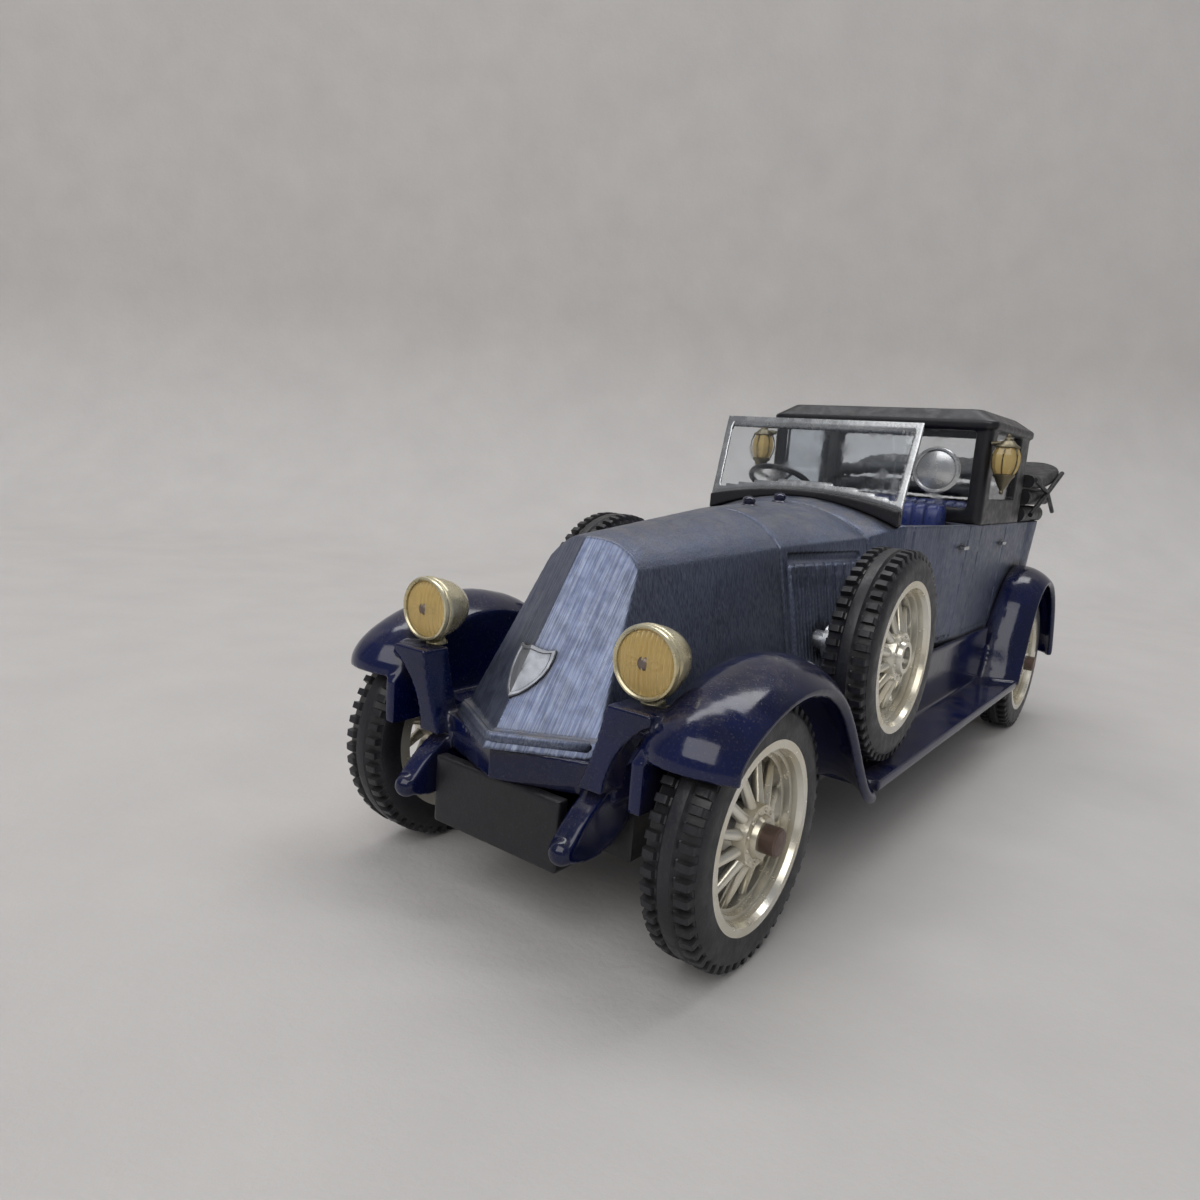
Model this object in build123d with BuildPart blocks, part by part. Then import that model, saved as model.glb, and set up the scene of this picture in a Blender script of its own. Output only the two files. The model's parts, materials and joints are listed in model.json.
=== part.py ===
from build123d import *
from math import cos, hypot, radians, sin
import os

os.makedirs("parts", exist_ok=True)

# A 1:43 diecast 1920s landaulet. Millimetres. The nose points to -Y, the car's left side is +X,
# the ground is Z = 0 and the origin is the middle of the footprint.

# ---------------------------------------------------------------- driving dimensions
WALL = 1.2
BODY_BASE_Z = 15.0
BELT_Z = 32.0
DECK_THICKNESS = 1.6

# wheels
WHEELBASE = 88.8
FRONT_AXLE_Y = -47.75
REAR_AXLE_Y = FRONT_AXLE_Y + WHEELBASE
TYRE_R = 10.4
RIM_R = 7.43
WHEEL_FACE_X = 18.27
WHEEL_WIDTH = 4.42
AXLE_R = 1.1
AXLE_END_X = 19.6
AXLE_CLEARANCE = 0.07
SPOKE_COUNT = 12
SPARE_FACE_X = 18.8
SPARE_Y = -21.6
SPARE_Z = 20.4

# bonnet and cowl: (y, half width at the shoulder, shoulder z, crown z, half width at the base)
BONNET_STATIONS = [
    (-60.0, 3.32, 27.55, 29.45, 6.62),
    (-46.75, 4.78, 28.40, 30.90, 7.88),
    (-26.55, 7.00, 29.70, 33.00, 9.80),
    (-11.45, 10.00, 30.50, 33.70, 12.00),
    (-6.60, 12.50, 32.00, 34.50, 13.20),
]
NOSE_TIP = (0, -58.85, 14.6)
FACET_NORMAL = (66.3, -114.7, 74.6)
LOUVRE_FIRST_Y = -25.4
LOUVRE_LAST_Y = -12.8
LOUVRE_COUNT = 24
LOUVRE_LOW_Z = 17.0
LOUVRE_HIGH_Z = 28.0

# tub: half widths along the doors at belt height
TUB_FRONT_Y = -6.6
TUB_REAR_Y = 56.0
TUB_REAR_FLAT = 8.0
TUB_STATIONS = [(-6.6, 12.6), (4.2, 14.3), (15.2, 15.0), (44.0, 15.0)]
TUB_TUCK_UNDER = 0.9
DIVISION_Y = 13.8
REAR_ARCH_R = 12.4

# fenders: crest lines as (y, z), running from nose to tail
FRONT_CREST = [
    (-57.9, 17.4), (-57.5, 19.1), (-55.6, 20.9), (-52.3, 22.4), (-47.5, 23.5), (-43.0, 23.3),
    (-38.9, 22.0), (-35.5, 19.4), (-32.6, 15.9), (-29.8, 12.2), (-26.6, 9.9),
]
REAR_CREST = [
    (27.6, 9.9), (29.2, 13.8), (31.2, 18.4), (34.6, 22.8), (39.2, 25.1), (43.4, 25.1),
    (48.0, 23.1), (51.8, 18.9), (54.2, 14.2), (55.2, 10.8),
]
FENDER_THICKNESS = 1.0
FENDER_OUTER_X = 20.0
FRONT_FENDER_INNER_X = 12.4
REAR_FENDER_INNER_X = 12.4
FENDER_LIP_DROP = 2.1
BOARD_TOP_Z = 9.6
BOARD_THICKNESS = 1.0
BOARD_INNER_X = 13.0
BOARD_OUTER_X = 19.7
BOARD_FRONT_Y = -27.0
BOARD_REAR_Y = 29.0
VALANCE_X = 14.3
VALANCE_FRONT_Y = -8.5
VALANCE_TOP_Z = 16.8
# deck under the body: (half width, front y, rear y)
DECK_STEPS = [(9.4, -54.0, -52.0), (13.0, -52.0, -27.0), (14.25, -27.0, 28.6), (12.4, 28.6, 54.0)]
CROSSMEMBER_LOW_Z = 12.3

# base
PAN_FLOOR_Z = 6.6
PAN_HALF_WIDTH = 9.5
PAN_WALL = 1.2
PAN_FRONT_Y = -52.0
PAN_REAR_Y = 52.5
PAN_WIDE_HALF = 12.8
PAN_WIDE_FRONT_Y = -24.0
PAN_WIDE_REAR_Y = 27.0
APRON_HALF = 6.6
APRON_FRONT_Y = -57.6
APRON_THICKNESS = 1.1
APRON_TOP_Z = 12.3
EXHAUST_X = 11.0
EXHAUST_R = 0.85
EXHAUST_LENGTH = 50.0
RIVET_YS = (-36.0, 30.0)
RIVET_POST_R = 2.2
RIVET_HEAD_R = 1.7
RIVET_HEAD_HEIGHT = 0.6
RIVET_SHANK_R = 0.8
RIVET_SHANK_LENGTH = 6.0

# windscreen, in its own raked plane
SCREEN_FOOT_Y = -7.6
SCREEN_FOOT_Z = 33.4
SCREEN_FOOT_HALF = 12.1
SCREEN_TOP_HALF = 12.43
SCREEN_HEIGHT = 10.26
SCREEN_RAKE = (0, -0.955, 0.297)
SCREEN_BAR = 0.95
SCREEN_ARCH = 1.45

# roof
ROOF_FRONT_Y = 13.95
ROOF_REAR_Y = 37.15
ROOF_HALF = 15.57
ROOF_TOP_Z = 46.7
ROOF_EAVE_Z = 45.1
ROOF_WALL_HALF = 15.1
WINDOW_SILL_Z = 35.3
WINDOW_HEAD_Z = 43.9
WINDOW_FRONT_Y = 17.2
WINDOW_REAR_Y = 31.2
OPENING_HALF = 13.1
DIVISION_SILL_Z = 34.0

# folded hood behind the roof
HOOD_TIP_Y = 60.1
HOOD_HALF = 16.6
HOOD_FRONT_Y = 37.4
HOOD_INSIDE_Y = 50.0
# folds from the belt up: (low z, high z, rear y, half width)
HOOD_FOLDS = [(32.0, 34.6, 55.6, 15.6), (34.6, 37.2, 57.0, 16.2), (37.2, 39.4, 58.2, 16.6)]

# lamps
LAMP_X = 11.36
LAMP_FACE_Y = -55.3
LAMP_Z = 23.38
LAMP_R = 2.75
LAMP_LENS_R = 2.4
SPOT_CENTRE = (14.9, -6.4, 38.4)
SPOT_R = 2.45
COACH_X = 17.0
COACH_Y = 14.6
# turned profiles of a coach lamp: (radius, z)
LANTERN_TOP = [(0, 42.0), (1.45, 42.0), (0.9, 42.7), (0.5, 43.0), (0.35, 43.6), (0, 43.7)]
LANTERN_FOOT = [(0, 38.6), (1.25, 38.6), (0.8, 37.6), (0.35, 36.8), (0.2, 36.1), (0, 36.1)]
LANTERN_CORE = [(0, 38.6), (0.3, 38.6), (0.3, 42.0), (0, 42.0)]
LANTERN_GLASS = [(0.3, 38.6), (1.3, 38.6), (1.75, 40.2), (1.65, 41.2), (1.35, 42.0), (0.3, 42.0)]
HORN_X = 8.3

# seats: (half width, cushion front y, back front y, back rear y, back top z)
CUSHION_TOP_Z = 25.5
FRONT_SEAT = (11.4, 2.0, 9.4, 12.6, 34.2)
REAR_SEAT = (11.0, 34.0, 44.6, 49.0, 34.0)
STEERING_R = 4.0
STEERING_CENTRE = (-7.5, 2.2, 35.6)
COLUMN_FOOT = (-7.5, -4.4, 23.2)


def save(builder, name):
    """Label the finished piece and write its file."""
    builder.part.label = name
    export_step(builder.part, f"parts/{name}.step")


def box_between(low, high, mode=Mode.ADD):
    """Box given by its two opposite corners."""
    size = [b - a for a, b in zip(low, high)]
    centre = tuple((a + b) / 2 for a, b in zip(low, high))
    with Locations(centre):
        return Box(*size, mode=mode)


def slab(centre, size):
    """Loose box used as a cutter, kept out of the part being built."""
    return Pos(*centre) * Box(*size, mode=Mode.PRIVATE)


def facet_plane(side, inset):
    """Plane of one sloping front facet, moved inwards by inset."""
    normal = Vector(side * FACET_NORMAL[0], FACET_NORMAL[1], FACET_NORMAL[2]).normalized()
    return Plane(origin=Vector(*NOSE_TIP) - normal * inset, z_dir=normal)


# ---------------------------------------------------------------- body casting
def bonnet_block(inset, drop=0.0):
    """Bonnet and cowl as a solid, with every outer face drawn in by inset."""
    with BuildPart() as block:
        for index, (y, shoulder_x, shoulder_z, crown_z, base_x) in enumerate(BONNET_STATIONS):
            last = index == len(BONNET_STATIONS) - 1
            plane_y = y - inset if last else y
            with BuildSketch(Plane.XZ.offset(-plane_y)):
                with BuildLine():
                    edge = (shoulder_x - inset, shoulder_z - inset)
                    base = (base_x - inset, BODY_BASE_Z - drop)
                    Polyline(edge, base, (-base[0], base[1]), (-edge[0], edge[1]))
                    ThreePointArc((-edge[0], edge[1]), (0, crown_z - inset), edge)
                make_face()
        loft(ruled=True)
        for side in (1, -1):
            split(bisect_by=facet_plane(side, inset), keep=Keep.BOTTOM)
    return block.part


def tub_outline(z, inset, tuck, rear_pull):
    """Plan outline of the passenger tub at one height."""
    half = [(x - inset - tuck, y) for y, x in TUB_STATIONS]
    half[0] = (half[0][0], TUB_FRONT_Y + inset)
    rear_y = TUB_REAR_Y - inset - rear_pull
    flat = TUB_REAR_FLAT - inset / 2
    side_x, side_y = half[-1]
    bend = (side_x - 1.9, rear_y - 2.6 - (side_y - 44.0) / 2)
    with BuildSketch(Plane.XY.offset(z)) as outline:
        with BuildLine():
            Polyline(*half)
            ThreePointArc((side_x, side_y), bend, (flat, rear_y))
            Line((flat, rear_y), (-flat, rear_y))
            ThreePointArc((-flat, rear_y), (-bend[0], bend[1]), (-side_x, side_y))
            Polyline(*[(-x, y) for x, y in reversed(half)])
            Line((-half[0][0], half[0][1]), half[0])
        make_face()
    return outline.sketch


def tub_block(inset, low_z=BODY_BASE_Z, high_z=BELT_Z):
    """Passenger tub as a solid, drawn in by inset."""
    with BuildPart() as block:
        add(tub_outline(low_z, inset, TUB_TUCK_UNDER, 2.0))
        add(tub_outline(high_z, inset, 0.0, 0.0))
        loft(ruled=True)
    return block.part


BONNET_SOLID = bonnet_block(0)
TUB_SOLID = tub_block(0)
BONNET_GROOVE_SKIN = bonnet_block(0) - bonnet_block(0.3)
TUB_GROOVE_SKIN = tub_block(0) - tub_block(0.3)
REAR_ARCH_CUTTER = Pos(0, REAR_AXLE_Y, TYRE_R) * Cylinder(REAR_ARCH_R, 60, rotation=(0, 90, 0))
BONNET_RAISED_SKIN = bonnet_block(-0.32) - bonnet_block(0)
BONNET_LIP_SKIN = bonnet_block(-0.4) - bonnet_block(0)

DOOR_LINES_Y = (-4.6, 11.6, 16.6, 30.2)
DOOR_FOOT_Z = 17.6
GROOVE = 0.34


def door_lines():
    """Slabs that mark the shut lines of the four doors."""
    lines = []
    for y in DOOR_LINES_Y:
        lines.append(slab((0, y, (DOOR_FOOT_Z + BELT_Z) / 2), (40, GROOVE, BELT_Z - DOOR_FOOT_Z)))
    for first, last in (DOOR_LINES_Y[:2], DOOR_LINES_Y[2:]):
        lines.append(slab((0, (first + last) / 2, DOOR_FOOT_Z), (40, last - first + GROOVE, GROOVE)))
    return lines


with BuildPart() as body_shell:
    add(BONNET_SOLID)
    add(TUB_SOLID)
    add(bonnet_block(WALL, drop=1.0), mode=Mode.SUBTRACT)
    add(tub_block(WALL, BODY_BASE_Z - 1, BELT_Z + 1), mode=Mode.SUBTRACT)
    box_between((-13.4, DIVISION_Y - WALL / 2, BODY_BASE_Z), (13.4, DIVISION_Y + WALL / 2, BELT_Z))
    # wheel arches let into the tub
    add(REAR_ARCH_CUTTER, mode=Mode.SUBTRACT)
    # joint lines of the bonnet lid and of the side radiators
    for y in (BONNET_STATIONS[2][0], BONNET_STATIONS[3][0]):
        add(BONNET_GROOVE_SKIN & slab((0, y, 25), (40, GROOVE, 30)), mode=Mode.SUBTRACT)
    for line in door_lines():
        add(TUB_GROOVE_SKIN & line, mode=Mode.SUBTRACT)
    # recess above the louvres, then the louvres themselves
    louvre_mid = (LOUVRE_FIRST_Y + LOUVRE_LAST_Y) / 2
    louvre_span = LOUVRE_LAST_Y - LOUVRE_FIRST_Y
    recess = slab((0, louvre_mid, LOUVRE_HIGH_Z + 0.75), (40, louvre_span, 0.9))
    add(BONNET_GROOVE_SKIN & recess, mode=Mode.SUBTRACT)
    louvre_pitch = louvre_span / (LOUVRE_COUNT - 1)
    louvre_height = LOUVRE_HIGH_Z - LOUVRE_LOW_Z
    for index in range(LOUVRE_COUNT):
        rib_y = LOUVRE_FIRST_Y + index * louvre_pitch
        rib = slab((0, rib_y, LOUVRE_LOW_Z + louvre_height / 2), (40, 0.26, louvre_height))
        add(BONNET_RAISED_SKIN & rib)
    # lip round the foot of the nose
    add(BONNET_LIP_SKIN & slab((0, -56, BODY_BASE_Z + 0.6), (40, 12, 1.2)))
    # holes for the studs of the spare wheels
    with Locations((0, SPARE_Y, SPARE_Z)):
        Cylinder(AXLE_R, 24, rotation=(0, 90, 0), mode=Mode.SUBTRACT)
save(body_shell, "body_shell")


# ---------------------------------------------------------------- fenders, boards and frame
def crest_frames(crest):
    """Plane across the fender at each crest point: local x is the car's +X, local y is outward."""
    frames = []
    for index, (y, z) in enumerate(crest):
        before = crest[max(index - 1, 0)]
        after = crest[min(index + 1, len(crest) - 1)]
        run = hypot(after[0] - before[0], after[1] - before[1])
        along = Vector(0, (after[0] - before[0]) / run, (after[1] - before[1]) / run)
        frames.append(Plane(origin=(0, y, z), x_dir=(1, 0, 0), z_dir=-along))
    return frames


def fender(crest, side, inner_x, inner_drop):
    """One domed fender: crescent sections lofted along its crest line."""
    crown_x = inner_x + 3.2
    with BuildPart() as piece:
        for frame in crest_frames(crest):
            with BuildSketch(frame):
                with BuildLine():
                    inner = (side * inner_x, -inner_drop)
                    crown = (side * crown_x, 0)
                    lip = (side * FENDER_OUTER_X, -FENDER_LIP_DROP)
                    inner_low = (side * inner_x, -inner_drop - FENDER_THICKNESS)
                    crown_low = (side * crown_x, -FENDER_THICKNESS)
                    lip_low = (side * (FENDER_OUTER_X - 0.5), -FENDER_LIP_DROP - 0.75)
                    ThreePointArc(inner, crown, lip)
                    Line(lip, lip_low)
                    ThreePointArc(lip_low, crown_low, inner_low)
                    Line(inner_low, inner)
                make_face()
        loft()
    return piece.part


def fender_side_wall(crest, side, inner_x, foot_z, top_drop, width=1.0):
    """Wall that closes a fender towards the car."""
    with BuildPart() as piece:
        with BuildSketch(Plane.YZ.offset(side * inner_x if side > 0 else side * (inner_x + width))):
            with BuildLine():
                tops = [(y, max(z - top_drop, foot_z + 0.2)) for y, z in crest[1:-1]]
                Polyline((tops[0][0], foot_z), *tops, (tops[-1][0], foot_z), close=True)
            make_face()
        extrude(amount=width)
    return piece.part


def dumb_iron(side):
    """Curved end of a frame rail, with its spring eye."""
    with BuildPart() as piece:
        with BuildSketch(Plane.YZ.offset(side * HORN_X)):
            with BuildLine():
                Polyline((-52.2, 14.4), (-54.0, 14.4), (-56.6, 12.6))
                ThreePointArc((-56.6, 12.6), (-58.4, 11.2), (-59.6, 9.7))
                Line((-59.6, 9.7), (-58.9, 8.9))
                ThreePointArc((-58.9, 8.9), (-55.4, 8.6), (-52.2, 10.2))
                Line((-52.2, 10.2), (-52.2, 14.4))
            make_face()
        extrude(amount=0.95, both=True)
        with Locations((side * HORN_X, -59.1, 9.6)):
            Sphere(1.0)
    return piece.part


def lamp_bracket(side):
    """Post from the frame up to one headlamp."""
    with BuildPart() as piece:
        with BuildSketch(Plane.XZ.offset(54.0)):
            with BuildLine():
                foot_out = (side * 9.6, 13.6)
                foot_in = (side * 7.4, 13.6)
                Line(foot_in, foot_out)
                ThreePointArc(foot_out, (side * 10.9, 17.3), (side * 13.3, 19.6))
                Polyline((side * 13.3, 19.6), (side * 13.3, 20.3), (side * 9.5, 20.3))
                ThreePointArc((side * 9.5, 20.3), (side * 8.7, 17.0), foot_in)
            make_face()
        extrude(amount=2.8)
    return piece.part


with BuildPart() as fender_chassis:
    deck_low = BODY_BASE_Z - DECK_THICKNESS
    for deck_half, deck_front, deck_rear in DECK_STEPS:
        box_between((-deck_half, deck_front, deck_low), (deck_half, deck_rear, BODY_BASE_Z))
    # pointed crossmember under the nose
    with BuildSketch(Plane.XY.offset(CROSSMEMBER_LOW_Z)):
        with BuildLine():
            Polyline((0, -58.2), (9.4, -54.6), (9.4, -52.5), (-9.4, -52.5), (-9.4, -54.6), close=True)
        make_face()
    extrude(amount=BODY_BASE_Z - CROSSMEMBER_LOW_Z)
    for side in (1, -1):
        add(fender(FRONT_CREST, side, FRONT_FENDER_INNER_X, 1.5))
        add(fender(REAR_CREST, side, REAR_FENDER_INNER_X, 1.0))
        add(fender_side_wall(FRONT_CREST, side, FRONT_FENDER_INNER_X, 13.4, 2.0))
        add(fender_side_wall(REAR_CREST, side, REAR_FENDER_INNER_X - 0.9, 9.4, 1.4))
        add(dumb_iron(side))
        add(lamp_bracket(side))
        # running board, its raised edge and the valance above it
        board_low = BOARD_TOP_Z - BOARD_THICKNESS
        inner, outer = sorted((side * BOARD_INNER_X, side * BOARD_OUTER_X))
        box_between((inner, BOARD_FRONT_Y, board_low), (outer, BOARD_REAR_Y, BOARD_TOP_Z))
        inner, outer = sorted((side * (VALANCE_X - 0.1), side * (VALANCE_X + 0.6)))
        box_between((inner, VALANCE_FRONT_Y, board_low + 0.5), (outer, BOARD_REAR_Y, VALANCE_TOP_Z))
        inner, outer = sorted((side * (BOARD_INNER_X - 0.1), side * (BOARD_INNER_X + 0.7)))
        box_between((inner, BOARD_FRONT_Y - 3, board_low), (outer, VALANCE_FRONT_Y + 1.5, BODY_BASE_Z))
    # the tub stands on the deck, and the rear fender walls fill its wheel arches
    add(TUB_SOLID - REAR_ARCH_CUTTER, mode=Mode.SUBTRACT)
    add(BONNET_SOLID, mode=Mode.SUBTRACT)
    # the axles pass the fender walls with room to spare
    with Locations((0, FRONT_AXLE_Y, TYRE_R), (0, REAR_AXLE_Y, TYRE_R)):
        Cylinder(AXLE_R + 0.6, 60, rotation=(0, 90, 0), mode=Mode.SUBTRACT)
    # posts that the base is riveted to
    with Locations(*[(0, y, (PAN_FLOOR_Z + WALL + deck_low) / 2) for y in RIVET_YS]):
        Cylinder(RIVET_POST_R, deck_low - PAN_FLOOR_Z - WALL)
    with Locations(*[(0, y, PAN_FLOOR_Z + 3.4) for y in RIVET_YS]):
        Cylinder(RIVET_SHANK_R, 6.9, mode=Mode.SUBTRACT)
save(fender_chassis, "fender_chassis")


# ---------------------------------------------------------------- base
PAN_TOP_Z = BODY_BASE_Z - DECK_THICKNESS
with BuildPart() as base_plate:
    for half, front_y, rear_y in (
        (PAN_HALF_WIDTH, PAN_FRONT_Y, PAN_REAR_Y),
        (PAN_WIDE_HALF, PAN_WIDE_FRONT_Y, PAN_WIDE_REAR_Y),
    ):
        box_between((-half, front_y, PAN_FLOOR_Z), (half, rear_y, PAN_TOP_Z))
    hollow_low = PAN_FLOOR_Z + WALL
    for half, front_y, rear_y in (
        (PAN_HALF_WIDTH - PAN_WALL, PAN_FRONT_Y + PAN_WALL, PAN_REAR_Y - PAN_WALL),
        (PAN_WIDE_HALF - PAN_WALL, PAN_WIDE_FRONT_Y + PAN_WALL, PAN_WIDE_REAR_Y - PAN_WALL),
    ):
        box_between((-half, front_y, hollow_low), (half, rear_y, PAN_TOP_Z + 1), Mode.SUBTRACT)
    # front apron
    box_between((-APRON_HALF, APRON_FRONT_Y, PAN_FLOOR_Z), (APRON_HALF, PAN_FRONT_Y + 1, hollow_low))
    apron_rear = APRON_FRONT_Y + APRON_THICKNESS
    box_between((-APRON_HALF, APRON_FRONT_Y, PAN_FLOOR_Z), (APRON_HALF, apron_rear, APRON_TOP_Z))
    # exhaust relief along the left edge of the pan
    with Locations((EXHAUST_X, -2.0, PAN_FLOOR_Z + EXHAUST_R)):
        Cylinder(EXHAUST_R, EXHAUST_LENGTH, rotation=(90, 0, 0))
    # bearings
    with Locations((0, FRONT_AXLE_Y, TYRE_R), (0, REAR_AXLE_Y, TYRE_R)):
        Cylinder(AXLE_R + AXLE_CLEARANCE, 60, rotation=(0, 90, 0), mode=Mode.SUBTRACT)
    with Locations(*[(0, y, PAN_FLOOR_Z + RIVET_HEAD_HEIGHT / 2) for y in RIVET_YS]):
        Cylinder(RIVET_HEAD_R, RIVET_HEAD_HEIGHT, mode=Mode.SUBTRACT)
    with Locations(*[(0, y, PAN_FLOOR_Z + WALL / 2) for y in RIVET_YS]):
        Cylinder(RIVET_SHANK_R, WALL * 2, mode=Mode.SUBTRACT)
save(base_plate, "base_plate")

with BuildPart() as base_rivets:
    with Locations(*[(0, y, PAN_FLOOR_Z + RIVET_HEAD_HEIGHT / 2) for y in RIVET_YS]):
        Cylinder(RIVET_HEAD_R, RIVET_HEAD_HEIGHT)
    shank_z = PAN_FLOOR_Z + 0.3 + RIVET_SHANK_LENGTH / 2
    with Locations(*[(0, y, shank_z) for y in RIVET_YS]):
        Cylinder(RIVET_SHANK_R, RIVET_SHANK_LENGTH)
save(base_rivets, "base_rivets")


# ---------------------------------------------------------------- wheels and axles
def rim(side, face_x, y, z):
    """Plated artillery wheel: flange, stepped barrel, twelve spokes and a hub."""
    with BuildPart() as piece:
        back_x = face_x - WHEEL_WIDTH
        with BuildSketch(Plane.XY):
            with BuildLine():
                Polyline(
                    (face_x, RIM_R), (face_x, 6.75), (face_x - 0.45, 6.55), (face_x - 0.9, 6.5),
                    (face_x - 0.95, 6.2), (face_x - 1.45, 6.15), (face_x - 1.5, 5.85),
                    (face_x - 2.6, 5.8), (face_x - 2.7, 6.2), (back_x, 6.4), (back_x, RIM_R),
                    close=True,
                )
            make_face()
            with BuildLine():
                Polyline(
                    (face_x + 0.1, AXLE_R), (face_x + 0.1, 1.55), (face_x - 0.3, 1.7),
                    (face_x - 0.35, 2.35), (face_x - 1.3, 2.6), (face_x - 2.2, 2.4),
                    (face_x - 3.4, 1.9), (face_x - 3.4, AXLE_R), close=True,
                )
            make_face()
        revolve(axis=Axis.X)
        for index in range(SPOKE_COUNT):
            turn = 360 / SPOKE_COUNT * (index + 0.5)
            hub_end = Vector(face_x - 1.05, 2.2 * cos(radians(turn)), 2.2 * sin(radians(turn)))
            rim_end = Vector(face_x - 2.1, 6.0 * cos(radians(turn)), 6.0 * sin(radians(turn)))
            spoke_plane = Plane(origin=hub_end, z_dir=rim_end - hub_end)
            with BuildSketch(spoke_plane):
                Circle(0.5)
            with BuildSketch(spoke_plane.offset((rim_end - hub_end).length)):
                Circle(0.34)
            loft()
            bolt = (face_x - 0.35, 2.02 * cos(radians(turn)), 2.02 * sin(radians(turn)))
            with Locations(bolt):
                Sphere(0.17)
        with Locations((face_x, 0, 0)):
            Cylinder(AXLE_R, 20, rotation=(0, 90, 0), mode=Mode.SUBTRACT)
    placed = piece.part if side > 0 else piece.part.mirror(Plane.YZ)
    return placed.moved(Location((0, y, z)))


def tyre(side, face_x, y, z):
    """Rubber tyre with a stepped shoulder, without its tread blocks."""
    with BuildPart() as piece:
        back_x = face_x - WHEEL_WIDTH
        with BuildSketch(Plane.XY):
            with BuildLine():
                Line((back_x, RIM_R), (face_x, RIM_R))
                ThreePointArc((face_x, RIM_R), (face_x + 0.05, 8.6), (face_x - 0.55, 9.9))
                tread_mid = (face_x - WHEEL_WIDTH / 2, TYRE_R)
                ThreePointArc((face_x - 0.55, 9.9), tread_mid, (back_x + 0.55, 9.9))
                ThreePointArc((back_x + 0.55, 9.9), (back_x - 0.05, 8.6), (back_x, RIM_R))
            make_face()
        revolve(axis=Axis.X)
    placed = piece.part if side > 0 else piece.part.mirror(Plane.YZ)
    return placed.moved(Location((0, y, z)))


SIDES = ((1, "left"), (-1, "right"))
for end, axle_y in (("front", FRONT_AXLE_Y), ("rear", REAR_AXLE_Y)):
    with BuildPart() as axle:
        with Locations((0, axle_y, TYRE_R)):
            Cylinder(AXLE_R, 2 * AXLE_END_X, rotation=(0, 90, 0))
        chamfer(axle.edges().filter_by(GeomType.CIRCLE), 0.15)
    save(axle, f"{end}_axle")
    for side, hand in SIDES:
        with BuildPart() as wheel_rim:
            add(rim(side, WHEEL_FACE_X, axle_y, TYRE_R))
        save(wheel_rim, f"{end}_rim_{hand}")
        with BuildPart() as wheel_tyre:
            add(tyre(side, WHEEL_FACE_X, axle_y, TYRE_R))
        save(wheel_tyre, f"{end}_tyre_{hand}")

for side, hand in SIDES:
    with BuildPart() as spare_rim:
        add(rim(side, SPARE_FACE_X, SPARE_Y, SPARE_Z))
    save(spare_rim, f"spare_rim_{hand}")
    with BuildPart() as spare_tyre:
        add(tyre(side, SPARE_FACE_X, SPARE_Y, SPARE_Z))
    save(spare_tyre, f"spare_tyre_{hand}")
    with BuildPart() as spare_stud:
        with Locations((side * 13.5, SPARE_Y, SPARE_Z)):
            Cylinder(AXLE_R, 10.0, rotation=(0, 90, 0))
        with Locations((side * 12.8, SPARE_Y, SPARE_Z)):
            Cylinder(2.0, 3.4, rotation=(0, 90, 0))
    save(spare_stud, f"spare_stud_{hand}")

# ---------------------------------------------------------------- windscreen
SCREEN_PLANE = Plane(origin=(0, SCREEN_FOOT_Y, SCREEN_FOOT_Z), x_dir=(1, 0, 0), z_dir=SCREEN_RAKE)


def screen_outline(inset):
    """Windscreen outline with its arched foot, drawn in by inset."""
    foot = SCREEN_FOOT_HALF - inset
    top = SCREEN_TOP_HALF - inset
    with BuildSketch(SCREEN_PLANE) as outline:
        with BuildLine():
            ThreePointArc((-foot, inset), (0, SCREEN_ARCH + inset), (foot, inset))
            head = SCREEN_HEIGHT - inset
            Polyline((foot, inset), (top, head), (-top, head), (-foot, inset))
        make_face()
    return outline.sketch


with BuildPart() as windscreen_frame:
    add(screen_outline(0))
    extrude(amount=0.55, both=True)
    add(screen_outline(SCREEN_BAR))
    extrude(amount=1, both=True, mode=Mode.SUBTRACT)
    add(BONNET_SOLID, mode=Mode.SUBTRACT)
    add(TUB_SOLID, mode=Mode.SUBTRACT)
save(windscreen_frame, "windscreen_frame")

with BuildPart() as windscreen_glass:
    add(screen_outline(SCREEN_BAR))
    extrude(amount=0.2, both=True)
save(windscreen_glass, "windscreen_glass")

with BuildPart() as windscreen_gasket:
    with BuildSketch(Plane.XZ.offset(-SCREEN_FOOT_Y - 0.9)):
        with BuildLine():
            ThreePointArc((-12.0, 31.8), (0, 34.2), (12.0, 31.8))
            Line((12.0, 31.8), (12.0, 33.6))
            ThreePointArc((12.0, 33.6), (0, 35.0), (-12.0, 33.6))
            Line((-12.0, 33.6), (-12.0, 31.8))
        make_face()
    extrude(amount=1.5)
    add(BONNET_SOLID, mode=Mode.SUBTRACT)
    add(TUB_SOLID, mode=Mode.SUBTRACT)
    add(windscreen_frame.part, mode=Mode.SUBTRACT)
    add(windscreen_glass.part, mode=Mode.SUBTRACT)
save(windscreen_gasket, "windscreen_gasket")

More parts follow.
